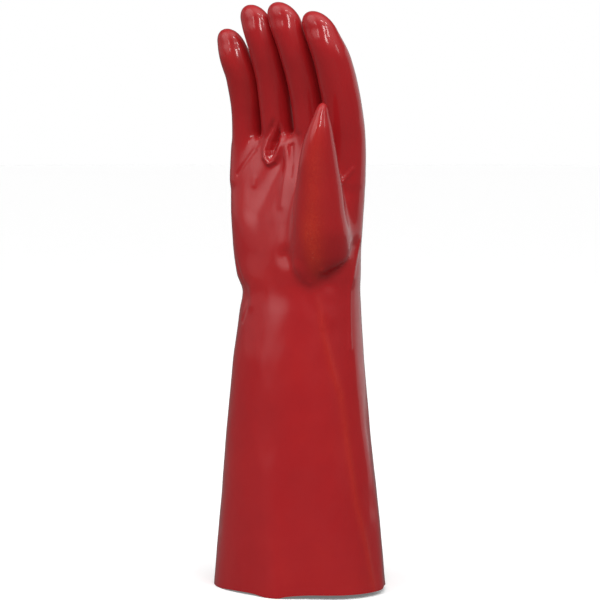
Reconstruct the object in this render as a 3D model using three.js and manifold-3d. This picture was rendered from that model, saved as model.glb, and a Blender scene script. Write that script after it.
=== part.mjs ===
// PVC-coated gauntlet work glove, right hand, 40 cm long.
// One dipped skin: a flared cuff, a narrow wrist, a palm, four fingers and a
// thumb, all hollow and open at the cuff.  Millimetres; +Z runs from the cut
// cuff edge to the fingertips, -Y is the palm side, +X is the thumb side, and
// z = 0 is the flat cut edge that the glove stands on.
import * as THREE from 'three';
import { mergeVertices } from 'three/addons/utils/BufferGeometryUtils.js';
import Module from 'manifold-3d';

const wasm = await Module();
wasm.setup();

// ---- driving sizes ---------------------------------------------------------
const WALL = 1.5;           // coating and lining together
const BODY_SIDES = 42;      // facets round the cuff, wrist and palm
const FINGER_SIDES = 14;
const THUMB_SIDES = 16;
const CROTCH_Z = 311;       // height of the webs between the fingers, at x = 0
const CROTCH_TILT = 0.10;   // the webs climb towards the index finger
const CENTRE_X = 0.435;      // moves the modelled axis so that the outer box is
const CENTRE_Y = 0.53;      // centred on the origin
const THUMB_AZ = 33 * Math.PI / 180;  // the thumb's flat sides face this way from +X
const PVC_RED = 0x9c1f23;

// ---- cuff, wrist and palm: one row for each section ------------------------
// z, centre x, centre y, half width, depth to the palm side, depth to the
// back, roundness (2 is an ellipse, more is squarer)
const BODY = [
  [  0, -0.8, -0.2, 62.4, 46.0, 47.0, 2.15],
  [ 30, -1.0,  0.0, 59.8, 44.8, 45.6, 2.15],
  [ 70, -1.2,  0.0, 55.8, 42.4, 43.2, 2.15],
  [115, -1.6,  0.0, 51.1, 39.4, 40.0, 2.15],
  [155, -1.2,  0.0, 47.5, 36.5, 36.5, 2.15],
  [190,  0.0,  0.0, 44.5, 32.5, 32.0, 2.10],
  [204,  0.1,  0.0, 44.1, 30.6, 30.2, 2.10],
  [216, -1.4,  0.0, 46.2, 29.4, 28.6, 2.15],
  [230, -2.4,  0.0, 47.6, 28.4, 27.0, 2.20],
  [250, -2.8,  0.5, 49.6, 26.6, 24.0, 2.30],
  [270, -2.6,  0.8, 51.2, 23.0, 21.0, 2.40],
  [290, -2.2,  0.4, 51.6, 18.2, 17.0, 2.50],
  [304, -2.0, -0.4, 51.2, 14.2, 13.6, 2.60],
  [316, -2.0, -1.2, 50.0, 10.0, 10.4, 2.60],
];
// heights of the facet rings: close together at the wrist's folds
const BODY_RINGS = [0, 14, 29, 45, 62, 80, 98, 116, 133, 149, 163, 175, 185, 193,
  200, 207, 214, 222, 231, 241, 252, 263, 273, 282, 290, 297, 303];
// the rounded top between the finger roots: rise above CROTCH_Z - 6, share of width, share of depth
const BODY_TOP = [[2.6, 0.975, 0.86], [4.9, 0.93, 0.62], [6.0, 0.86, 0.28]];

// ---- fingers: z, centre x, centre y, half width, half depth ------------------
const FINGERS = {
  pinky: { tip: 10.8, rows: [
    [280, -41.0,  -1.0, 11.6, 12.6], [300, -40.5,  -1.8, 11.3, 12.4], [322, -39.3,  -4.8, 11.1, 11.4],
    [334, -38.5,  -7.5, 11.5, 11.2], [348, -38.4, -11.8, 11.9, 11.2], [355, -39.5, -14.0, 12.0, 11.0],
    [361.5, -41.1, -15.9, 11.8, 10.2], [368, -42.7, -17.3, 11.3, 8.8], [372, -43.7, -18.0, 10.6, 7.6]] },
  ring: { tip: 11.4, rows: [
    [282, -15.5,  -0.6, 12.0, 13.2], [303, -14.9,  -2.0, 11.8, 13.0], [321, -14.6,  -5.0, 11.7, 12.6],
    [334, -14.6,  -7.6, 11.6, 12.5], [348, -14.8, -10.9, 11.6, 12.6], [361, -15.6, -15.1, 11.6, 12.5],
    [368, -16.3, -17.4, 11.6, 12.1], [374.7, -17.4, -19.7, 11.6, 11.1], [381.4, -19.0, -21.5, 11.5, 9.6],
    [387, -20.5, -22.6, 11.2, 8.0]] },
  middle: { tip: 11.8, rows: [
    [282, 11.4,  -0.2, 12.0, 13.2], [303, 11.6,  -1.4, 11.9, 13.1], [320, 11.4,  -4.0, 11.8, 12.8],
    [334, 11.1,  -6.9, 11.8, 12.7], [348, 10.5, -10.8, 11.8, 12.8], [361,  9.0, -15.0, 11.8, 12.9],
    [368,  7.9, -17.3, 11.8, 12.5], [374.4,  6.4, -19.5, 11.8, 11.7], [381,  4.6, -21.7, 11.8, 10.4],
    [387.6,  2.9, -23.4, 11.6, 8.4]] },
  index: { tip: 12.4, rows: [
    [280, 35.6,  -0.8, 12.2, 14.0], [300, 37.2,  -1.8, 13.0, 14.4], [320, 38.4,  -5.0, 13.1, 14.0],
    [334, 38.6,  -8.4, 13.1, 13.6], [347.5, 37.9, -12.1, 13.1, 13.5], [361, 36.3, -16.2, 13.0, 13.1],
    [367.5, 34.9, -18.4, 12.8, 12.3], [374, 32.7, -20.4, 12.5, 10.9], [380.6, 30.4, -22.0, 12.0, 8.9]] },
};
// ---- thumb: z, across, reach, half thickness, half width ---------------------
// across and reach are measured on axes turned by THUMB_AZ
const THUMB = { tip: 9.0, rows: [
  [203, 10.0, 12.0, 12.0, 13.0], [215, 13.0, 20.0, 16.6, 17.5], [230, 15.6, 27.6, 18.6, 19.0],
  [243, 15.4, 32.4, 18.2, 19.0], [260, 14.0, 37.6, 16.5, 17.6], [280, 13.0, 43.2, 14.6, 15.2],
  [296, 12.3, 47.4, 12.4, 13.2], [306, 12.4, 49.6, 10.6, 11.8], [316, 13.2, 51.4,  8.0,  9.6],
  [323.6, 14.0, 52.4, 5.4, 7.2]] };
const FINGER_STEPS = 8;     // rings along a finger's rows
const THUMB_STEPS = 10;
const TIP_ANGLES = [26, 50, 72];   // degrees, the rings of a rounded tip

// ---- folds: a line from one point to another, its width, and how far it ------
// pushes the wall out (+) or in (-) at its start and at its end
const FOLDS = [
  { name: 'wrist_dent',     from: [-43, -10, 202], to: [-32, -23, 202], width: 8,  push: [-1.6, -1.6] },
  { name: 'thenar_crease',  from: [ 10, -29, 227], to: [ 25, -27, 203], width: 7,  push: [-1.6, -3.0] },
  { name: 'thumb_pinch',    from: [ 37, -21, 214], to: [ 45,  -4, 236], width: 7,  push: [-2.6, -1.2] },
  { name: 'palm_pit',       from: [-10, -13, 309], to: [-12, -17, 297], width: 8,  push: [-5.0, -3.6] },
  { name: 'palm_rise',      from: [ 13, -32, 224], to: [ 14, -23, 276], width: 15, push: [ 2.6,  3.0] },
  { name: 'palm_trough',    from: [-15, -19, 294], to: [-29, -22, 270], width: 10, push: [-2.4, -0.6] },
  { name: 'palm_ridge',     from: [ -1, -15, 302], to: [  0, -24, 264], width: 8,  push: [ 1.4,  0.4] },
  { name: 'cuff_ridge',     from: [  9, -46,   0], to: [  2, -41, 110], width: 13, push: [ 2.2,  0.0] },
  { name: 'cuff_flat',      from: [ 34, -39,   0], to: [ 30, -34, 120], width: 20, push: [-3.0,  0.0] },
  { name: 'cuff_side_fold', from: [ 58,   6,   0], to: [ 46,  -3, 160], width: 9,  push: [ 1.4,  0.5] },
];

// ---- smooth curve through a table's rows, by their first column --------------
function readTable(rows, z) {
  const n = rows.length, cols = rows[0].length;
  const t = Math.min(Math.max(z, rows[0][0]), rows[n - 1][0]);
  let i = 0;
  while (i < n - 2 && t >= rows[i + 1][0]) i++;
  const h = rows[i + 1][0] - rows[i][0], s = (t - rows[i][0]) / h;
  const out = [];
  for (let c = 1; c < cols; c++) {
    const d = (k) => (rows[k + 1][c] - rows[k][c]) / (rows[k + 1][0] - rows[k][0]);
    const slope = (k) => {
      if (k === 0) return d(0);
      if (k === n - 1) return d(n - 2);
      const a = d(k - 1), b = d(k);
      if (a * b <= 0) return 0;
      const ha = rows[k][0] - rows[k - 1][0], hb = rows[k + 1][0] - rows[k][0];
      const wa = 2 * hb + ha, wb = hb + 2 * ha;
      return (wa + wb) / (wa / a + wb / b);
    };
    const s2 = s * s, s3 = s2 * s;
    out.push((2 * s3 - 3 * s2 + 1) * rows[i][c] + (s3 - 2 * s2 + s) * h * slope(i)
      + (3 * s2 - 2 * s3) * rows[i + 1][c] + (s3 - s2) * h * slope(i + 1));
  }
  return out;
}

// how far the folds push the wall at a point
function foldPush(p) {
  let sum = 0;
  for (const f of FOLDS) {
    const a = new THREE.Vector3(...f.from), b = new THREE.Vector3(...f.to);
    const ab = b.clone().sub(a);
    const t = THREE.MathUtils.clamp(p.clone().sub(a).dot(ab) / ab.lengthSq(), 0, 1);
    const d = p.distanceTo(a.addScaledVector(ab, t));
    sum += (f.push[0] + (f.push[1] - f.push[0]) * t) * Math.exp(-(d * d) / (f.width * f.width));
  }
  return sum;
}

// one ring of the cuff, wrist or palm, drawn in by inset
function bodyRing(z, inset, wide = 1, deep = 1, lift = 0) {
  const [cx, cy, a, palm, back, n] = readTable(BODY, z);
  const ring = [];
  for (let i = 0; i < BODY_SIDES; i++) {
    const t = 2 * Math.PI * i / BODY_SIDES, c = Math.cos(t), s = Math.sin(t);
    const A = a * wide - inset, B = (s < 0 ? palm : back) * deep - inset;
    const x = Math.sign(c) * A * Math.pow(Math.abs(c), 2 / n);
    const y = Math.sign(s) * B * Math.pow(Math.abs(s), 2 / n);
    const out = new THREE.Vector2(x / (A * A), y / (B * B)).normalize();
    const p = new THREE.Vector3(cx + x, cy + y, z + lift + (lift ? CROTCH_TILT * (cx + x) : 0));
    const push = foldPush(p);
    ring.push(new THREE.Vector3(p.x + out.x * push, p.y + out.y * push, p.z));
  }
  return ring;
}

function bodyLoft(inset) {
  const rings = BODY_RINGS.map((z, i) => bodyRing(z, inset));
  if (inset > 0) {              // the hollow runs out through the cuff's edge
    const below = rings[0].map((p) => new THREE.Vector3(p.x, p.y, -5));
    rings.unshift(below);
  }
  for (const [rise, wide, deep] of BODY_TOP) {
    rings.push(bodyRing(CROTCH_Z - 6, inset, wide, deep, rise - inset * 0.8));
  }
  return closeLoft(rings);
}

// a finger or the thumb: rings through its rows, a rounded tip above the last
// row and a smaller ring below the first, which stays inside the palm
function prongLoft({ rows, tip }, steps, sides, inset, turned) {
  const z0 = rows[0][0], z1 = rows[rows.length - 1][0];
  const last = rows[rows.length - 1], before = rows[rows.length - 2];
  const lean = [1, 2].map((c) => (last[c] - before[c]) / (last[0] - before[0]));
  const ring = (z, share, over) => {
    const [u0, v0, a, b] = readTable(rows, z);
    const pts = [];
    for (let i = 0; i < sides; i++) {
      const t = 2 * Math.PI * (i + 0.5) / sides;
      const u = u0 + lean[0] * over + (a - inset) * share * Math.cos(t);
      const v = v0 + lean[1] * over + (b - inset) * share * Math.sin(t) * (turned ? -1 : 1);
      const p = turned
        ? new THREE.Vector3(u * Math.cos(THUMB_AZ) + v * Math.sin(THUMB_AZ), u * Math.sin(THUMB_AZ) - v * Math.cos(THUMB_AZ), z + over)
        : new THREE.Vector3(u, v, z + over);
      pts.push(p);
    }
    return pts;
  };
  const rings = [ring(z0, 0.6, -5)];
  for (let i = 0; i <= steps; i++) rings.push(ring(z0 + (z1 - z0) * i / steps, 1, 0));
  for (const deg of TIP_ANGLES) {
    const t = deg * Math.PI / 180;
    rings.push(ring(z1, Math.cos(t), (tip - inset) * Math.sin(t)));
  }
  return closeLoft(rings);
}

// rings, counter-clockwise from above and rising, into one closed solid
function closeLoft(rings) {
  const sides = rings[0].length, pos = [], idx = [];
  for (const r of rings) for (const p of r) pos.push(p.x, p.y, p.z);
  const mid = (r) => r.reduce((m, p) => m.add(p), new THREE.Vector3()).multiplyScalar(1 / sides);
  const low = mid(rings[0]), top = mid(rings[rings.length - 1]);
  pos.push(low.x, low.y, low.z, top.x, top.y, top.z);
  const iLow = rings.length * sides, iTop = iLow + 1, lastRing = (rings.length - 1) * sides;
  for (let k = 0; k < sides; k++) {
    const j = (k + 1) % sides;
    for (let r = 0; r < rings.length - 1; r++) {
      const a = r * sides + k, b = r * sides + j, c = a + sides, d = b + sides;
      idx.push(a, b, d, a, d, c);
    }
    idx.push(iLow, j, k, iTop, lastRing + k, lastRing + j);
  }
  return new wasm.Manifold(new wasm.Mesh({
    numProp: 3, vertProperties: new Float32Array(pos), triVerts: new Uint32Array(idx),
  }));
}

// palm, fingers and thumb joined; inset 0 is the outside, WALL is the hollow
function handForm(inset) {
  let form = bodyLoft(inset);
  for (const finger of Object.values(FINGERS)) {
    form = form.add(prongLoft(finger, FINGER_STEPS, FINGER_SIDES, inset, false));
  }
  return form.add(prongLoft(THUMB, THUMB_STEPS, THUMB_SIDES, inset, true));
}

function toGeometry(solid) {
  const mesh = solid.getMesh(), n = mesh.numProp;
  const pos = new Float32Array(mesh.vertProperties.length / n * 3);
  for (let i = 0; i < pos.length / 3; i++) {
    pos[3 * i] = mesh.vertProperties[n * i] + CENTRE_X;
    pos[3 * i + 1] = mesh.vertProperties[n * i + 1] + CENTRE_Y;
    pos[3 * i + 2] = mesh.vertProperties[n * i + 2];
  }
  const g = new THREE.BufferGeometry();
  g.setAttribute('position', new THREE.BufferAttribute(pos, 3));
  g.setIndex([...mesh.triVerts]);
  return g;
}

const shell = handForm(0).subtract(handForm(WALL));
const geometry = toGeometry(shell);

const glove = new THREE.Group();
const skin = new THREE.Mesh(geometry, new THREE.MeshStandardMaterial({ color: PVC_RED, roughness: 0.28, metalness: 0 }));
skin.name = 'glove_shell';
glove.add(skin);

export default glove;
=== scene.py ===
import math
import bpy
import numpy as np
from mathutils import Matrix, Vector


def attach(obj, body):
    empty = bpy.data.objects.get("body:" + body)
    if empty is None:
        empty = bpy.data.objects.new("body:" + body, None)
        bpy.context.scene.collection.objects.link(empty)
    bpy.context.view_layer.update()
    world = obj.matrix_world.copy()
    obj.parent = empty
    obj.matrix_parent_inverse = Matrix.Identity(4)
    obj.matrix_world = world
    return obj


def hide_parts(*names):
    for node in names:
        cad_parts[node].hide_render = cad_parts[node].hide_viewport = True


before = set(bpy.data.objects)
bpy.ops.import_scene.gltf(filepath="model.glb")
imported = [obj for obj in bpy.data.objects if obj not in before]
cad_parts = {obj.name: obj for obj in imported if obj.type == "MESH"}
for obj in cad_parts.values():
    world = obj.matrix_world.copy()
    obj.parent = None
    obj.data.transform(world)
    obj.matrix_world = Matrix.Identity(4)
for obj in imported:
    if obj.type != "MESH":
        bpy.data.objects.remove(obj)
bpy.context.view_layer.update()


# ---------------------------------------------------------------------------
# Sizes, in millimetres in the glove's own axes: +Z from the cut cuff edge to
# the fingertips, -Y the palm side, +X the thumb side.
# ---------------------------------------------------------------------------
WALL = 1.5
CENTRE_X, CENTRE_Y = 0.435, 0.53      # the tables' axis, seen from the frame's origin
CROTCH_Z, CROTCH_TILT = 311.0, 0.10
THUMB_AZ = math.radians(33.0)

# cuff, wrist and palm: z, centre x, centre y, half width, palm depth, back depth, roundness
BODY = [
    (0, -0.8, -0.2, 62.4, 46.0, 47.0, 2.15),
    (30, -1.0, 0.0, 59.8, 44.8, 45.6, 2.15),
    (70, -1.2, 0.0, 55.8, 42.4, 43.2, 2.15),
    (115, -1.6, 0.0, 51.1, 39.4, 40.0, 2.15),
    (155, -1.2, 0.0, 47.5, 36.5, 36.5, 2.15),
    (190, 0.0, 0.0, 44.5, 32.5, 32.0, 2.10),
    (204, 0.1, 0.0, 44.1, 30.6, 30.2, 2.10),
    (216, -1.4, 0.0, 46.2, 29.4, 28.6, 2.15),
    (230, -2.4, 0.0, 47.6, 28.4, 27.0, 2.20),
    (250, -2.8, 0.5, 49.6, 26.6, 24.0, 2.30),
    (270, -2.6, 0.8, 51.2, 23.0, 21.0, 2.40),
    (290, -2.2, 0.4, 51.6, 18.2, 17.0, 2.50),
    (304, -2.0, -0.4, 51.2, 14.2, 13.6, 2.60),
    (316, -2.0, -1.2, 50.0, 10.0, 10.4, 2.60),
]
# fingers: rows of z, centre x, centre y, half width, half depth; then the round tip's height
FINGERS = {
    "pinky": ([(280, -41.0, -1.0, 11.6, 12.6), (300, -40.5, -1.8, 11.3, 12.4), (322, -39.3, -4.8, 11.1, 11.4),
               (334, -38.5, -7.5, 11.5, 11.2), (348, -38.4, -11.8, 11.9, 11.2), (355, -39.5, -14.0, 12.0, 11.0),
               (361.5, -41.1, -15.9, 11.8, 10.2), (368, -42.7, -17.3, 11.3, 8.8), (372, -43.7, -18.0, 10.6, 7.6)], 10.8),
    "ring": ([(282, -15.5, -0.6, 12.0, 13.2), (303, -14.9, -2.0, 11.8, 13.0), (321, -14.6, -5.0, 11.7, 12.6),
              (334, -14.6, -7.6, 11.6, 12.5), (348, -14.8, -10.9, 11.6, 12.6), (361, -15.6, -15.1, 11.6, 12.5),
              (368, -16.3, -17.4, 11.6, 12.1), (374.7, -17.4, -19.7, 11.6, 11.1), (381.4, -19.0, -21.5, 11.5, 9.6),
              (387, -20.5, -22.6, 11.2, 8.0)], 11.4),
    "middle": ([(282, 11.4, -0.2, 12.0, 13.2), (303, 11.6, -1.4, 11.9, 13.1), (320, 11.4, -4.0, 11.8, 12.8),
                (334, 11.1, -6.9, 11.8, 12.7), (348, 10.5, -10.8, 11.8, 12.8), (361, 9.0, -15.0, 11.8, 12.9),
                (368, 7.9, -17.3, 11.8, 12.5), (374.4, 6.4, -19.5, 11.8, 11.7), (381, 4.6, -21.7, 11.8, 10.4),
                (387.6, 2.9, -23.4, 11.6, 8.4)], 11.8),
    "index": ([(280, 35.6, -0.8, 12.2, 14.0), (300, 37.2, -1.8, 13.0, 14.4), (320, 38.4, -5.0, 13.1, 14.0),
               (334, 38.6, -8.4, 13.1, 13.6), (347.5, 37.9, -12.1, 13.1, 13.5), (361, 36.3, -16.2, 13.0, 13.1),
               (367.5, 34.9, -18.4, 12.8, 12.3), (374, 32.7, -20.4, 12.5, 10.9), (380.6, 30.4, -22.0, 12.0, 8.9)], 12.4),
}
# thumb: z, across, reach, half thickness, half width, on axes turned by THUMB_AZ
THUMB = ([(203, 10.0, 12.0, 12.0, 13.0), (215, 13.0, 20.0, 16.6, 17.5), (230, 15.6, 27.6, 18.6, 19.0),
          (243, 15.4, 32.4, 18.2, 19.0), (260, 14.0, 37.6, 16.5, 17.6), (280, 13.0, 43.2, 14.6, 15.2),
          (296, 12.3, 47.4, 12.4, 13.2), (306, 12.4, 49.6, 10.6, 11.8), (316, 13.2, 51.4, 8.0, 9.6),
          (323.6, 14.0, 52.4, 5.4, 7.2)], 9.0)
BLEND_FINGER, BLEND_THUMB, BLEND_BETWEEN = 7.0, 10.0, 1.2

# folds: name, points along the fold's line, width, push at start and end (+ out, - in)
FOLDS = [
    ("wrist_dent", [(-43, -10, 202), (-32, -23, 202)], 8, -1.6, -1.6),
    ("wrist_line", [(-40, -19, 224), (-31, -24, 208), (-26, -27, 201), (-27, -27, 193), (-31, -26, 184)], 1.6, -0.5, -0.5),
    ("wrist_swell", [(-24, -28, 206), (-22, -29, 196)], 4, 0.5, 0.4),
    ("thenar_swell", [(17, -31, 222), (26, -30, 207), (33, -27, 196), (39, -22, 188)], 5, 0.9, 0.5),
    ("thenar_crease", [(8, -30, 230), (15, -30, 218), (22, -29, 207), (28, -28, 194)], 5.2, -1.5, -0.5),
    ("thenar_pleat_a", [(26, -28, 212), (27, -28, 192)], 1.6, 0.4, 0.2),
    ("thenar_pleat_b", [(35, -27, 221), (34, -25, 202), (33, -24, 182)], 1.8, 0.5, 0.2),
    ("thumb_pinch", [(37, -21, 214), (45, -4, 236)], 5.5, -3.2, -1.2),
    ("thumb_pinch_line", [(35, -23, 212), (43, -13, 226)], 2.4, -1.0, -0.3),
    ("palm_rise", [(13, -32, 224), (15, -28, 250), (14, -23, 276)], 15, 2.6, 3.2),
    ("palm_hollow", [(-22, -27, 232), (-20, -22, 272)], 13, -1.8, -1.6),
    ("palm_trough", [(-9, -18, 290), (-16, -22, 276), (-24, -24, 260)], 8.5, -3.2, -1.6),
    ("palm_spot", [(-25, -20, 281), (-25.5, -20, 277)], 2.4, 0.5, 0.5),
    ("palm_ridge", [(-2, -15, 304), (1, -21, 283), (1, -26, 264)], 3.2, 1.0, 0.5),
    ("palm_groove", [(3, -15, 303), (6, -21, 284)], 2.0, -0.9, -0.5),
    ("palm_groove_b", [(-7, -19, 300), (-5, -22, 286)], 3.0, -0.9, -0.5),
    ("palm_wrinkle_a", [(-25, -14, 305), (-33, -16, 294), (-41, -16, 284)], 1.3, -0.85, -0.6),
    ("palm_wrinkle_b", [(-27, -15, 300), (-35, -17, 291), (-41, -16, 283)], 1.3, -0.7, -0.5),
    ("finger_crease", [(8, -15, 310), (8, -19, 294)], 3.0, -0.8, -0.5),
    ("web_line", [(43, -14, 280), (48, -9, 288)], 1.6, 0.7, 0.5),
    ("side_line", [(46, -8, 168), (45, -7, 208), (45, -1, 225), (46, 5, 241)], 1.7, 0.6, 0.6),
    ("cuff_ridge", [(9, -46, 0), (2, -41, 110)], 13, 2.2, 0.0),
    ("cuff_flat", [(34, -39, 0), (30, -34, 120)], 20, -3.0, 0.0),
    ("cuff_side_fold", [(58, 6, 0), (54, 9, 57), (50, 1, 107), (46, -4, 155), (44, -5, 214)], 7, 1.3, 0.9),
]
# the deep dent under the ring finger: its outline as x, z places, seen from the palm side
DENT = [(-8.5, 321), (-11.0, 316.5), (-12.8, 313), (-15.8, 307), (-17.4, 300.5), (-16.8, 296), (-14.2, 292.2),
        (-11.2, 293.8), (-9.2, 297.8), (-7.0, 305), (-5.8, 311), (-5.4, 316.5), (-5.4, 321)]
# distance in from the outline, slope of the wall there
DENT_WALL = [(-0.5, 0.0), (0.3, 0.66), (1.7, 0.72), (2.6, 1.7), (3.6, 1.6), (5.0, 0.0)]
# height, share of the dent's depth, rise of the lip round it
DENT_HEIGHTS = [(288, 0.9, 2.9), (294, 0.9, 2.8), (300, 1.0, 1.8), (306, 1.0, 0.2), (312, 0.85, -1.2), (316, 0.5, -1.7), (320, 0.1, -1.2), (324, 0.0, 0.0)]
# the liner's seam shows through the coating as a thin ridge: points from the cuff to the thumb's tip
SEAM = [(60.5, -2, 0), (58, -7, 35), (53, -13, 65), (48, -15, 103), (44, -17, 136), (39, -21, 157),
        (35, -24, 177), (32, -26, 201), (33, -33, 222), (34, -42, 243), (38, -49, 262), (42, -52, 285), (45, -55, 305), (47, -56, 322)]
SEAM_WIDTH, SEAM_RISE = 2.0, 0.32


# ---------------------------------------------------------------------------
# The form as a field: negative inside the glove's outer skin
# ---------------------------------------------------------------------------
def read_table(rows, z):
    """Monotone cubic through a table's rows, by their first column."""
    t = np.array(rows, float)
    x, y = t[:, 0], t[:, 1:]
    h = np.diff(x)[:, None]
    d = np.diff(y, axis=0) / h
    m = np.zeros_like(y)
    w1, w2 = 2 * h[1:] + h[:-1], h[1:] + 2 * h[:-1]
    same = d[1:] * d[:-1] > 0
    with np.errstate(divide="ignore", invalid="ignore"):
        mean = (w1 + w2) / (w1 / d[:-1] + w2 / d[1:])
    m[1:-1] = np.where(same, mean, 0.0)
    m[0], m[-1] = d[0], d[-1]
    z = np.clip(z, x[0], x[-1])
    i = np.clip(np.searchsorted(x, z, side="right") - 1, 0, len(x) - 2)
    hh = h[i]
    s = (z - x[i])[:, None] / hh
    return ((2 * s**3 - 3 * s**2 + 1) * y[i] + (s**3 - 2 * s**2 + s) * hh * m[i]
            + (3 * s**2 - 2 * s**3) * y[i + 1] + (s**3 - s**2) * hh * m[i + 1])


def smooth_min(a, b, k):
    h = np.maximum(k - np.abs(a - b), 0.0) / k
    return np.minimum(a, b) - h * h * h * k / 6.0


def body_field(p):
    x, y, z = p[:, 0], p[:, 1], p[:, 2]
    cx, cy, a, palm, back, n = read_table(BODY, z).T
    dx, dy = x - cx, y - cy
    b = np.where(dy < 0, palm, back)
    r = np.sqrt(dx * dx + dy * dy) + 1e-6
    q = (np.abs(dx / a)**n + np.abs(dy / b)**n)**(1 / n) + 1e-9
    d = r - r / q
    return -smooth_min(-d, -(z - CROTCH_Z - CROTCH_TILT * x), 8.0)


def prong_field(p, prong, turned=False, low=8.0):
    rows, tip = prong
    x, y, z = p[:, 0], p[:, 1], p[:, 2]
    cx, cy, a, b = read_table(rows, z).T
    over, under = np.maximum(z - rows[-1][0], 0), np.maximum(rows[0][0] - z, 0)
    last, before = rows[-1], rows[-2]
    h = last[0] - before[0]
    if turned:
        c, s = math.cos(THUMB_AZ), math.sin(THUMB_AZ)
        x, y = c * x + s * y, s * x - c * y
    # the round tip carries on the last rows' taper, so that it joins them without a crease
    ease = over / (1 + over / 4.0)
    a, b = a + ease * (last[3] - before[3]) / h, b + ease * (last[4] - before[4]) / h
    u = x - cx - over * (last[1] - before[1]) / h
    v = y - cy - over * (last[2] - before[2]) / h
    q = np.sqrt((u / a)**2 + (v / b)**2 + (over / tip)**2 + (under / low)**2) + 1e-9
    r = np.sqrt(u * u + v * v + over * over + under * under) + 1e-6
    return r - r / q


def near_line(p, points):
    """Distance to a line through the points, and the share of the way along it."""
    pts = np.array(points, float)
    lengths = np.linalg.norm(np.diff(pts, axis=0), axis=1)
    total = lengths.sum()
    best = np.full(len(p), 1e9)
    along = np.zeros(len(p))
    run = 0.0
    for a, b, length in zip(pts[:-1], pts[1:], lengths):
        ab = b - a
        t = np.clip(((p - a) @ ab) / (ab @ ab), 0, 1)
        o = p - a - t[:, None] * ab
        d = np.sqrt((o * o).sum(1))
        closer = d < best
        best = np.where(closer, d, best)
        along = np.where(closer, (run + t * length) / total, along)
        run += length
    return best, along


def waves(p):
    """Slow unevenness of the dipped coating, a sum of fixed sine waves."""
    s = np.zeros(len(p))
    for kx, ky, kz, ph, amp in WAVES:
        s += amp * np.sin(kx * p[:, 0] + ky * p[:, 1] + kz * p[:, 2] + ph)
    return s


rng = np.random.default_rng(7)
WAVES = []
for wavelength, amp, count in [(62.0, 0.07, 7), (27.0, 0.035, 9), (12.5, 0.012, 10)]:
    for _ in range(count):
        v = rng.normal(size=3)
        v[2] *= 0.55
        v /= np.linalg.norm(v)
        k = 2 * math.pi / wavelength * rng.uniform(0.8, 1.25)
        WAVES.append((v[0] * k, v[1] * k, v[2] * k, rng.uniform(0, 6.28), amp))


def smooth_form(p):
    out = body_field(p)
    m = p[:, 2] > CROTCH_Z - 45
    if m.any():
        pm, bm = p[m], out[m]
        ds = []
        for prong in FINGERS.values():
            d = np.full(len(pm), 40.0)
            near = np.abs(pm[:, 0] - prong[0][0][1]) < 32
            d[near] = prong_field(pm[near], prong)
            ds.append(d)
        ds = np.sort(np.array(ds), 0)[:2]
        f1, f2 = smooth_min(bm, ds[0], BLEND_FINGER), smooth_min(bm, ds[1], BLEND_FINGER)
        k = BLEND_BETWEEN * np.clip((BLEND_FINGER - ds[1]) / BLEND_FINGER, 0, 1) * np.clip((9 - bm) / 6, 0, 1) + 1e-4
        out[m] = smooth_min(f1, f2, k)
    m = (p[:, 2] > 170) & (p[:, 2] < 345) & (p[:, 0] > -25) & (p[:, 1] < 40)
    if m.any():
        out[m] = smooth_min(out[m], prong_field(p[m], THUMB, True), BLEND_THUMB)
    return out


def inside_distance(x, z, outline):
    """Distance to a closed outline in the x-z plane: above 0 inside it."""
    pts = np.array(outline, float)
    best, inside = np.full(len(x), 1e9), np.zeros(len(x), bool)
    for (x0, z0), (x1, z1) in zip(pts, np.roll(pts, -1, 0)):
        dx, dz = x1 - x0, z1 - z0
        t = np.clip(((x - x0) * dx + (z - z0) * dz) / (dx * dx + dz * dz), 0, 1)
        best = np.minimum(best, np.hypot(x - x0 - t * dx, z - z0 - t * dz))
        crossing = (z0 > z) != (z1 > z)
        at = x0 + (z - z0) * dx / (dz if dz else 1e-9)
        inside ^= crossing & (x < at)
    return np.where(inside, best, -best)


def dent_push(p, grow=0.0):
    """The dent under the ring finger and the lip round it; grow widens it for the inside."""
    push = np.zeros(len(p))
    m = (p[:, 1] < -1) & (p[:, 2] > 284) & (p[:, 2] < 324) & (p[:, 0] > -28) & (p[:, 0] < 2)
    if m.any():
        q = p[m]
        s = inside_distance(q[:, 0], q[:, 2], DENT)
        rows = np.array(DENT_WALL)
        steps = np.linspace(rows[0, 0], rows[-1, 0], 120)
        depth = np.concatenate([[0], np.cumsum(np.diff(steps) * np.interp(steps[:-1], rows[:, 0], rows[:, 1]))])
        heights = np.array(DENT_HEIGHTS, float)
        share = np.interp(q[:, 2], heights[:, 0], heights[:, 1])
        lip = np.interp(q[:, 2], heights[:, 0], heights[:, 2])
        lip = np.where(lip < 0, lip * np.clip((-8 - q[:, 0]) / 4, 0, 1), lip)
        push[m] = lip * np.exp(-((s + 0.9) / 1.9)**2) - share * np.interp(s + grow, steps, depth)
        if grow:
            push[m] = -share * np.interp(s + grow, steps, depth) * 1.12
    return push


def outer_field(p):
    f = smooth_form(p)
    close = np.abs(f) < 12
    pc, push = p[close], np.zeros(close.sum())
    push += waves(pc) + dent_push(pc)
    for name, pts, width, start, end in FOLDS:
        zs = [q[2] for q in pts]
        m = (pc[:, 2] > min(zs) - 3 * width) & (pc[:, 2] < max(zs) + 3 * width)
        if m.any():
            d, t = near_line(pc[m], pts)
            push[m] += (start + (end - start) * t) * np.exp(-(d / width)**2)
    d, t = near_line(pc, SEAM)
    push += SEAM_RISE * np.exp(-(d / SEAM_WIDTH)**2)
    f[close] -= push
    return f


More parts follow.
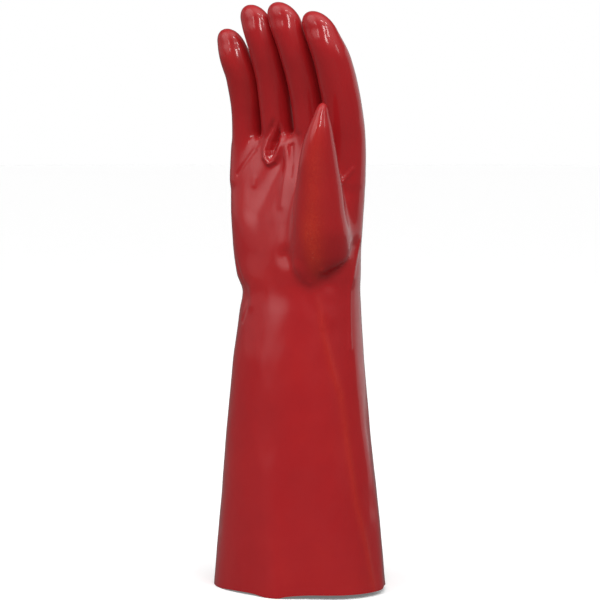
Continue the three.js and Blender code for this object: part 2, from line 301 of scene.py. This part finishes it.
def inner_field(p):
    f = smooth_form(p) + WALL
    close = np.abs(f) < 14
    pc, push = p[close], np.zeros(close.sum())
    push += waves(pc) + dent_push(pc, 1.6)
    for name, pts, width, start, end in FOLDS:
        if width < 5:
            continue
        zs = [q[2] for q in pts]
        m = (pc[:, 2] > min(zs) - 3 * width) & (pc[:, 2] < max(zs) + 3 * width)
        if m.any():
            d, t = near_line(pc[m], pts)
            push[m] += (start + (end - start) * t) * np.exp(-(d / width)**2)
    f[close] -= push
    return f


def gradient(field, p, e=0.12):
    g = np.empty_like(p)
    for a in range(3):
        q = p.copy()
        q[:, a] += e
        up = field(q)
        q[:, a] -= 2 * e
        g[:, a] = (up - field(q)) / (2 * e)
    return g


def surface_nets(field, xs, ys, zs):
    """One vertex in each grid cell that the surface crosses, one quad for each grid edge it cuts."""
    gx, gy, gz = np.meshgrid(xs, ys, zs, indexing="ij")
    pts = np.stack([gx.ravel(), gy.ravel(), gz.ravel()], 1)
    val = np.concatenate([field(c) for c in np.array_split(pts, max(1, len(pts) // 400000))]).reshape(gx.shape)
    inside = val < 0
    nx, ny, nz = val.shape
    cx, cy, cz = nx - 1, ny - 1, nz - 1
    count = np.zeros((cx, cy, cz), np.int8)
    for i in (0, 1):
        for j in (0, 1):
            for k in (0, 1):
                count += inside[i:i + cx, j:j + cy, k:k + cz]
    active = (count > 0) & (count < 8)
    ids = -np.ones((cx, cy, cz), np.int64)
    ids[active] = np.arange(active.sum())
    ci, cj, ck = np.where(active)
    acc, num = np.zeros((len(ci), 3)), np.zeros(len(ci))
    for a in range(3):
        for i in (0, 1):
            for j in (0, 1):
                for k in (0, 1):
                    c0 = (i, j, k)
                    if c0[a]:
                        continue
                    c1 = tuple(c0[b] + (b == a) for b in range(3))
                    v0 = val[ci + c0[0], cj + c0[1], ck + c0[2]]
                    v1 = val[ci + c1[0], cj + c1[1], ck + c1[2]]
                    cut = (v0 < 0) != (v1 < 0)
                    t = np.where(cut, v0 / np.where(cut, v0 - v1, 1), 0)[:, None]
                    p0 = np.stack([xs[ci + c0[0]], ys[cj + c0[1]], zs[ck + c0[2]]], 1)
                    p1 = np.stack([xs[ci + c1[0]], ys[cj + c1[1]], zs[ck + c1[2]]], 1)
                    acc += np.where(cut[:, None], p0 + (p1 - p0) * t, 0)
                    num += cut
    verts = acc / num[:, None]
    quads = []
    n = (nx, ny, nz)
    for a in range(3):
        b, c = (a + 1) % 3, (a + 2) % 3
        lo, hi = [slice(None)] * 3, [slice(None)] * 3
        lo[a], hi[a] = slice(0, -1), slice(1, None)
        first = inside[tuple(lo)]
        idx = np.array(np.where(first != inside[tuple(hi)])).T
        idx = idx[(idx[:, b] > 0) & (idx[:, b] < n[b] - 1) & (idx[:, c] > 0) & (idx[:, c] < n[c] - 1)]
        flip = first[tuple(idx.T)]

        def cell(db, dc):
            q = idx.copy()
            q[:, b] -= db
            q[:, c] -= dc
            return ids[tuple(q.T)]
        q = np.stack([cell(0, 0), cell(1, 0), cell(1, 1), cell(0, 1)], 1)
        q[~flip] = q[~flip][:, ::-1]
        quads.append(q)
    return verts, np.concatenate(quads)


def settle(field, v, rounds=4, held=None):
    """Move points along the gradient onto the surface; held points keep their height."""
    for _ in range(rounds):
        f, g = field(v), gradient(field, v)
        if held is not None:
            g[held, 2] = 0
        step = -(f / ((g * g).sum(1) + 1e-9))[:, None] * g
        v = v + np.clip(step, -1.2, 1.2)
    return v


def grid_line(spans):
    """Grid places from rows of from, to, step."""
    return np.concatenate([np.arange(lo, hi - step * 0.25, step) for lo, hi, step in spans] + [[spans[-1][1]]])


def skin(field, xs, ys, zs):
    """The surface from the cuff's edge up, with its open loop at z = 0."""
    v, q = surface_nets(field, xs, ys, zs)
    # the lowest layer of cells lies round z = 0: its vertices become the cut edge
    edge = v[:, 2] < zs[1]
    v[edge, 2] = 0.0
    v = settle(field, v, 4, edge)
    used = np.zeros(len(v), bool)
    used[q.ravel()] = True
    remap = -np.ones(len(v), np.int64)
    remap[used] = np.arange(used.sum())
    return v[used], remap[q], edge[used]


def loop_order(v, edge_ids, centre=(0.0, 0.0)):
    ang = np.arctan2(v[edge_ids, 1] - centre[1], v[edge_ids, 0] - centre[0])
    return edge_ids[np.argsort(ang)]


# the grid is finer where the palm's folds and the dent are
k = 1.0
outer_v, outer_q, outer_edge = skin(
    outer_field,
    grid_line([(-66.5, -42, 1.6 * k), (-42, 8, 0.9 * k), (8, 66.5, 1.5 * k)]),
    grid_line([(-62.5, 51.5, 1.5 * k)]),
    grid_line([(-1.4 * k, 180, 2.8 * k), (180, 286, 1.5 * k), (286, 318, 0.8 * k), (318, 403, 1.5 * k)]))
inner_v, inner_q, inner_edge = skin(
    inner_field,
    grid_line([(-66.5, 66.5, 2.5 * k)]), grid_line([(-62.5, 51.5, 2.5 * k)]),
    grid_line([(-2.2 * k, 180, 4.4 * k), (180, 403, 2.5 * k)]))
outer_n = gradient(outer_field, outer_v)
inner_n = -gradient(inner_field, inner_v)
outer_n /= np.linalg.norm(outer_n, axis=1)[:, None]
inner_n /= np.linalg.norm(inner_n, axis=1)[:, None]
print("outer", len(outer_v), len(outer_q), "inner", len(inner_v), len(inner_q))


# ---------------------------------------------------------------------------
# One closed mesh: coating outside, cotton liner inside, the cut edge between
# ---------------------------------------------------------------------------
# the cut edge isn't quite level: direction from the axis in degrees, how far it rises above the floor in mm
EDGE_RISE = [(-180, 0.4), (-156, 0.0), (-140, 0.1), (-124, 1.0), (-108, 1.4), (-98, 1.1), (-90, 0.3), (-84, 0.0), (-76, 0.1),
             (-68, 1.5), (-60, 2.2), (-44, 2.9), (-20, 3.0), (-4, 2.9), (6, 3.2), (11, 4.6), (20, 3.6), (40, 1.6), (70, 0.5),
             (100, 0.0), (140, 0.6), (180, 0.4)]


def edge_wave(v):
    a = np.degrees(np.arctan2(v[:, 1], v[:, 0]))
    rise = read_table(EDGE_RISE, a)[:, 0]
    return np.maximum(rise, 0.0) * np.clip(1 - v[:, 2] / 30.0, 0, 1)**2


def build_mesh(name):
    out, inn = outer_v.copy(), inner_v.copy()
    # the liner is cut at the edge's own level
    for v in (out, inn):
        v[:, 2] += edge_wave(v)
    verts = np.concatenate([out, inn])
    faces = [tuple(int(i) for i in f) for f in outer_q]
    slots = [0] * len(outer_q)
    base = len(out)
    faces += [tuple(int(i) + base for i in f[::-1]) for f in inner_q]
    slots += [1] * len(inner_q)
    # the ring of the cut edge, zipped from the outer loop to the inner loop by angle
    lo = loop_order(out, np.where(outer_edge)[0])
    li = loop_order(inn, np.where(inner_edge)[0])
    ao = np.arctan2(out[lo, 1], out[lo, 0])
    ai = np.arctan2(inn[li, 1], inn[li, 0])
    i = j = 0
    while i < len(lo) or j < len(li):
        next_o = ao[i + 1] if i + 1 < len(lo) else ao[0] + 2 * math.pi
        next_i = ai[j + 1] if j + 1 < len(li) else ai[0] + 2 * math.pi
        a, b = int(lo[i % len(lo)]), int(li[j % len(li)]) + base
        if j >= len(li) or (i < len(lo) and next_o <= next_i):
            faces.append((a, b, int(lo[(i + 1) % len(lo)])))
            i += 1
        else:
            faces.append((a, b, int(li[(j + 1) % len(li)]) + base))
            j += 1
        slots.append(2)
    mesh = bpy.data.meshes.new(name)
    place = (verts + np.array([CENTRE_X, CENTRE_Y, 0.0])) / 1000.0
    mesh.from_pydata(place.tolist(), [], faces)
    mesh.polygons.foreach_set("material_index", slots)
    mesh.polygons.foreach_set("use_smooth", [s != 2 for s in slots])
    # distance to the seam, for the coating's tint
    d, t = near_line(verts, SEAM)
    seam = mesh.attributes.new("seam", "FLOAT", "POINT")
    wide = 3.0 + 6.0 * np.clip((verts[:, 2] - 205) / 40, 0, 1)         # the tint is broad on the thumb
    strong = 0.34 + 0.66 * np.clip((verts[:, 2] - 200) / 40, 0, 1)
    seam.data.foreach_set("value", (strong * np.exp(-(d / wide)**2)).astype(np.float32))
    mesh.update()
    normals = np.concatenate([outer_n, inner_n])
    loops = np.zeros(len(mesh.loops), np.int32)
    mesh.loops.foreach_get("vertex_index", loops)
    per_loop = normals[loops]
    down = np.repeat(np.array(slots) == 2, [len(f) for f in faces])
    per_loop[down] = (0, 0, -1)
    mesh.normals_split_custom_set(per_loop.tolist())
    return mesh


# ---------------------------------------------------------------------------
# Materials
# ---------------------------------------------------------------------------
def new_material(name):
    mat = bpy.data.materials.new(name)
    mat.use_nodes = True
    nt = mat.node_tree
    nt.nodes.clear()
    out = nt.nodes.new("ShaderNodeOutputMaterial")
    bsdf = nt.nodes.new("ShaderNodeBsdfPrincipled")
    nt.links.new(bsdf.outputs["BSDF"], out.inputs["Surface"])
    return mat, nt, bsdf


def node(nt, kind, **props):
    n = nt.nodes.new(kind)
    for key, value in props.items():
        setattr(n, key, value)
    return n


def noise(nt, coords, scale, detail=3.0, rough=0.55, stretch=None):
    src = coords
    if stretch:
        m = node(nt, "ShaderNodeMapping")
        m.inputs["Scale"].default_value = stretch
        nt.links.new(coords, m.inputs["Vector"])
        src = m.outputs["Vector"]
    n = node(nt, "ShaderNodeTexNoise")
    n.inputs["Scale"].default_value = scale
    n.inputs["Detail"].default_value = detail
    n.inputs["Roughness"].default_value = rough
    nt.links.new(src, n.inputs["Vector"])
    return n.outputs["Fac"]


def ramp(nt, fac, stops):
    r = node(nt, "ShaderNodeValToRGB")
    el = r.color_ramp.elements
    el[0].position, el[0].color = stops[0][0], (*stops[0][1], 1)
    el[1].position, el[1].color = stops[-1][0], (*stops[-1][1], 1)
    for pos, col in stops[1:-1]:
        e = el.new(pos)
        e.color = (*col, 1)
    nt.links.new(fac, r.inputs["Fac"])
    return r.outputs["Color"]


def mix(nt, fac, a, b, blend="MIX"):
    m = node(nt, "ShaderNodeMix", data_type="RGBA", blend_type=blend)
    for sock, value in ((m.inputs["Factor"], fac), (m.inputs[6], a), (m.inputs[7], b)):
        if isinstance(value, (int, float)):
            sock.default_value = value
        elif isinstance(value, tuple):
            sock.default_value = (*value, 1)
        else:
            nt.links.new(value, sock)
    return m.outputs[2]


def math_node(nt, op, a, b=0.0, c=0.0):
    m = node(nt, "ShaderNodeMath", operation=op)
    for i, value in enumerate((a, b, c)):
        if isinstance(value, (int, float)):
            m.inputs[i].default_value = value
        else:
            nt.links.new(value, m.inputs[i])
    return m.outputs[0]


def remap(nt, value, lo, hi, to_lo, to_hi):
    m = node(nt, "ShaderNodeMapRange")
    for key, v in (("From Min", lo), ("From Max", hi), ("To Min", to_lo), ("To Max", to_hi)):
        m.inputs[key].default_value = v
    nt.links.new(value, m.inputs["Value"])
    return m.outputs["Result"]


def pvc_material():
    mat, nt, bsdf = new_material("pvc_coating")
    co = node(nt, "ShaderNodeTexCoord").outputs["Object"]
    seam = node(nt, "ShaderNodeAttribute", attribute_name="seam", attribute_type="GEOMETRY").outputs["Fac"]
    cloud = noise(nt, co, 22.0, 4.0, 0.6)             # patches of about 40 mm
    fine = noise(nt, co, 160.0, 3.0, 0.6)             # patches of about 5 mm
    grain = noise(nt, co, 900.0, 2.0, 0.5)            # the knit's grain under the coating
    base = ramp(nt, cloud, [(0.30, (0.380, 0.0106, 0.0136)), (0.5, (0.400, 0.0118, 0.0146)), (0.70, (0.420, 0.0138, 0.0152))])
    base = mix(nt, remap(nt, fine, 0.35, 0.7, 0.0, 0.22), base, (0.36, 0.0105, 0.0145))
    # the coating is thinner and more orange along the seam, with small pale specks on it
    warm = mix(nt, remap(nt, grain, 0.35, 0.65, 0.0, 1.0), (0.54, 0.030, 0.0135), (0.62, 0.044, 0.017))
    base = mix(nt, math_node(nt, "MULTIPLY", seam, remap(nt, fine, 0.3, 0.7, 0.55, 0.95)), base, warm)
    speck = noise(nt, co, 620.0, 1.0, 0.4)
    speck = math_node(nt, "MULTIPLY", remap(nt, speck, 0.64, 0.72, 0.0, 0.35), math_node(nt, "POWER", seam, 3.0))
    base = mix(nt, speck, base, (0.62, 0.16, 0.09))
    nt.links.new(base, bsdf.inputs["Base Color"])
    rough = remap(nt, fine, 0.3, 0.7, 0.33, 0.42)
    nt.links.new(rough, bsdf.inputs["Roughness"])
    bsdf.inputs["Specular IOR Level"].default_value = 0.12
    bsdf.inputs["Coat Weight"].default_value = 0.80
    bsdf.inputs["Coat Roughness"].default_value = 0.11
    bsdf.inputs["Coat IOR"].default_value = 1.42
    # relief: knit grain and small unevenness of the coating
    weave = node(nt, "ShaderNodeTexVoronoi", feature="F1", distance="EUCLIDEAN")
    weave.inputs["Scale"].default_value = 620.0
    nt.links.new(co, weave.inputs["Vector"])
    height = math_node(nt, "ADD", math_node(nt, "MULTIPLY", fine, 0.9), math_node(nt, "MULTIPLY", grain, 0.12))
    height = math_node(nt, "ADD", height, math_node(nt, "MULTIPLY", weave.outputs["Distance"], 0.10))
    bump = node(nt, "ShaderNodeBump")
    bump.inputs["Strength"].default_value = 0.35
    bump.inputs["Distance"].default_value = 0.00028
    nt.links.new(height, bump.inputs["Height"])
    nt.links.new(bump.outputs["Normal"], bsdf.inputs["Normal"])
    soft = node(nt, "ShaderNodeBump")
    soft.inputs["Strength"].default_value = 0.06
    soft.inputs["Distance"].default_value = 0.00016
    nt.links.new(fine, soft.inputs["Height"])
    nt.links.new(soft.outputs["Normal"], bsdf.inputs["Coat Normal"])
    return mat


def liner_material():
    mat, nt, bsdf = new_material("cotton_liner")
    co = node(nt, "ShaderNodeTexCoord").outputs["Object"]
    cloud = noise(nt, co, 30.0, 3.0, 0.6)
    lint = noise(nt, co, 1400.0, 2.0, 0.6)
    ribs = node(nt, "ShaderNodeTexWave", wave_type="BANDS", bands_direction="Z", wave_profile="SIN")
    ribs.inputs["Scale"].default_value = 210.0
    ribs.inputs["Distortion"].default_value = 2.5
    ribs.inputs["Detail"].default_value = 2.0
    ribs.inputs["Detail Scale"].default_value = 3.0
    nt.links.new(co, ribs.inputs["Vector"])
    wales = noise(nt, co, 480.0, 2.0, 0.5, stretch=(1, 1, 0.25))
    base = ramp(nt, cloud, [(0.3, (0.56, 0.42, 0.36)), (0.7, (0.70, 0.60, 0.52))])
    base = mix(nt, remap(nt, wales, 0.35, 0.65, 0.0, 0.5), base, (0.46, 0.28, 0.24))
    nt.links.new(base, bsdf.inputs["Base Color"])
    nt.links.new(remap(nt, lint, 0.3, 0.7, 0.82, 0.97), bsdf.inputs["Roughness"])
    bsdf.inputs["Sheen Weight"].default_value = 0.25
    bsdf.inputs["Sheen Roughness"].default_value = 0.6
    height = math_node(nt, "ADD", math_node(nt, "MULTIPLY", ribs.outputs["Fac"], 0.6), math_node(nt, "MULTIPLY", lint, 0.5))
    bump = node(nt, "ShaderNodeBump")
    bump.inputs["Strength"].default_value = 0.7
    bump.inputs["Distance"].default_value = 0.0004
    nt.links.new(height, bump.inputs["Height"])
    nt.links.new(bump.outputs["Normal"], bsdf.inputs["Normal"])
    return mat


def edge_material():
    mat, nt, bsdf = new_material("cut_edge")
    co = node(nt, "ShaderNodeTexCoord").outputs["Object"]
    fibres = noise(nt, co, 900.0, 3.0, 0.6)
    base = ramp(nt, fibres, [(0.35, (0.45, 0.02, 0.02)), (0.65, (0.60, 0.16, 0.12))])
    nt.links.new(base, bsdf.inputs["Base Color"])
    nt.links.new(remap(nt, fibres, 0.3, 0.7, 0.55, 0.8), bsdf.inputs["Roughness"])
    bump = node(nt, "ShaderNodeBump")
    bump.inputs["Strength"].default_value = 0.5
    bump.inputs["Distance"].default_value = 0.0002
    nt.links.new(fibres, bump.inputs["Height"])
    nt.links.new(bump.outputs["Normal"], bsdf.inputs["Normal"])
    return mat


glove = bpy.data.objects.new("glove_skin", build_mesh("glove_skin"))
bpy.context.scene.collection.objects.link(glove)
for m in (pvc_material(), liner_material(), edge_material()):
    glove.data.materials.append(m)
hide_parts("glove_shell")
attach(glove, "root")

# ---------------------------------------------------------------------------
# Camera, at the photo's angle
# ---------------------------------------------------------------------------
VIEW_AZ, VIEW_EL, VIEW_DIST = math.radians(33.0), math.radians(4.5), 1.70
TARGET = Vector((0.000435, 0.00053, 0.1979))
TO_CAMERA = Vector((math.sin(VIEW_AZ), -math.cos(VIEW_AZ), 0.0))
TO_RIGHT = Vector((math.cos(VIEW_AZ), math.sin(VIEW_AZ), 0.0))


def direction(turn, rise):
    """A direction: turn in degrees from the camera's side to the viewer's right, rise above level."""
    t, e = math.radians(turn), math.radians(rise)
    return (TO_CAMERA * math.cos(t) + TO_RIGHT * math.sin(t)) * math.cos(e) + Vector((0, 0, math.sin(e)))


cam = bpy.data.cameras.new("camera")
cam.lens = 36.0 * 1.4615 * VIEW_DIST * 1000 / 600.0
cam.sensor_width = 36.0
cam.clip_end = 50.0
camera = bpy.data.objects.new("camera", cam)
back = TO_CAMERA * math.cos(VIEW_EL) + Vector((0, 0, math.sin(VIEW_EL)))
camera.location = TARGET + back * VIEW_DIST
camera.rotation_euler = (-back).to_track_quat("-Z", "Y").to_euler()
bpy.context.scene.collection.objects.link(camera)
bpy.context.scene.camera = camera

# ---------------------------------------------------------------------------
# Studio: a large pale floor, flat out to 12 m, soft light
# ---------------------------------------------------------------------------
def lathe_floor():
    """A round floor, flat all the way out to 12 m."""
    rows = [(0.0, 0.0), (0.15, 0.0), (0.4, 0.0), (0.9, 0.0), (1.6, 0.0), (2.4, 0.0), (3.2, 0.0), (6.0, 0.0), (12.0, 0.0)]
    n, verts, faces = 64, [(0.0, 0.0, -0.0002)], []
    for r, z in rows[1:]:
        verts += [(r * math.cos(2 * math.pi * k / n), r * math.sin(2 * math.pi * k / n), z - 0.0002) for k in range(n)]
    for k in range(n):
        faces.append((0, 1 + k, 1 + (k + 1) % n))
    for ring in range(len(rows) - 2):
        a = 1 + ring * n
        for k in range(n):
            j = (k + 1) % n
            faces.append((a + k, a + n + k, a + n + j, a + j))
    mesh = bpy.data.meshes.new("floor")
    mesh.from_pydata(verts, [], faces)
    mesh.update()
    return mesh


floor = bpy.data.objects.new("floor", lathe_floor())
mat, nt, bsdf = new_material("floor")
# the part that the light bounces from is a softer grey, so that the coating keeps its depth of colour
seen = node(nt, "ShaderNodeLightPath").outputs["Is Camera Ray"]
nt.links.new(mix(nt, seen, (0.17, 0.17, 0.17), (1.0, 1.0, 1.0)), bsdf.inputs["Base Color"])
nt.links.new(seen, bsdf.inputs["Emission Strength"])
bsdf.inputs["Emission Color"].default_value = (0.16, 0.16, 0.16, 1.0)
bsdf.inputs["Roughness"].default_value = 0.9
bsdf.inputs["Specular IOR Level"].default_value = 0.1
floor.data.materials.append(mat)
bpy.context.scene.collection.objects.link(floor)

# lamps: name, turn, distance, height, aim height, width, tall, radiance
LAMPS = [
    ("front_low", -3.0, 1.6, 0.93, 0.33, 0.26, 0.34, 19.0),
    ("front_high", 3.0, 1.1, 1.45, 0.33, 0.24, 0.16, 20.0),
    ("front_right", 18.0, 1.5, 1.18, 0.33, 0.22, 0.16, 20.0),
    ("front_high_right", 35.0, 1.2, 1.52, 0.33, 0.24, 0.16, 20.0),
    ("front_far_right", 50.0, 1.6, 0.82, 0.33, 0.34, 0.40, 4.0),
    ("front_left", -44.0, 1.6, 0.80, 0.33, 0.22, 0.20, 5.0),
    ("side_left_high", -108.0, 1.5, 0.70, 0.70, 1.45, 0.80, 0.30),
    ("side_left_low", -108.0, 1.5, 0.62, 0.62, 1.45, 0.76, 0.24),
    ("side_right", 130.0, 1.5, 0.42, 0.42, 1.5, 0.84, 0.62),
    ("side_right_front", 84.0, 1.6, 0.55, 0.55, 0.9, 0.9, 0.05),
]
# soft glows on the room's walls: turn, rise, full within, gone beyond (degrees), radiance
GLOWS = [(-67.0, 30.0, 10.0, 31.0, 2.1), (48.0, 50.0, 8.0, 55.0, 0.62)]
OVERHEAD = 1.75
for name, turn, dist, height, aim, w, h, radiance in LAMPS:
    data = bpy.data.lights.new(name, "AREA")
    data.shape = "RECTANGLE"
    data.size, data.size_y = w, h
    data.energy = radiance * math.pi * w * h
    lamp = bpy.data.objects.new(name, data)
    place = direction(turn, 0.0) * dist + Vector((0, 0, height))
    lamp.location = place
    lamp.rotation_euler = (Vector((0, 0, aim)) - place).to_track_quat("-Z", "Y").to_euler()
    bpy.context.scene.collection.objects.link(lamp)

# the room: bright overhead and behind, dim from level on the camera's side
world = bpy.data.worlds.new("studio")
world.use_nodes = True
bpy.context.scene.world = world
wn = world.node_tree
wn.nodes.clear()
wout = wn.nodes.new("ShaderNodeOutputWorld")
bg = wn.nodes.new("ShaderNodeBackground")
wn.links.new(bg.outputs["Background"], wout.inputs["Surface"])
coords = wn.nodes.new("ShaderNodeTexCoord").outputs["Generated"]
dot = node(wn, "ShaderNodeVectorMath", operation="DOT_PRODUCT")
wn.links.new(coords, dot.inputs[0])
dot.inputs[1].default_value = -TO_CAMERA
level = ramp(wn, remap(wn, dot.outputs["Value"], -1.0, 1.0, 0.0, 1.0),
             [(0.0, (0.15, 0.15, 0.15)), (0.5, (0.10, 0.10, 0.10)), (1.0, (0.17, 0.17, 0.17))])
split = node(wn, "ShaderNodeSeparateXYZ")
wn.links.new(coords, split.inputs[0])
over = remap(wn, split.outputs["Z"], 0.45, 0.9, 0.0, 1.0)
over = math_node(wn, "MULTIPLY", over, remap(wn, dot.outputs["Value"], -0.45, 0.15, 1.0, 0.12))
shade = mix(wn, over, level, (OVERHEAD, OVERHEAD, OVERHEAD))
for turn, rise, full, gone, radiance in GLOWS:
    near = node(wn, "ShaderNodeVectorMath", operation="DOT_PRODUCT")
    wn.links.new(coords, near.inputs[0])
    near.inputs[1].default_value = direction(turn, rise)
    amount = remap(wn, near.outputs["Value"], math.cos(math.radians(gone)), math.cos(math.radians(full)), 0.0, radiance)
    amount.node.interpolation_type = "SMOOTHSTEP"
    shade = mix(wn, 1.0, shade, amount, "ADD")
seen = node(wn, "ShaderNodeLightPath").outputs["Is Camera Ray"]
wn.links.new(mix(wn, seen, shade, (1.0, 1.0, 1.0)), bg.inputs["Color"])
bg.inputs["Strength"].default_value = 1.0

scene = bpy.context.scene
scene.view_settings.view_transform = "Standard"
scene.view_settings.look = "None"
scene.view_settings.exposure = 0.0
scene.view_settings.gamma = 1.0
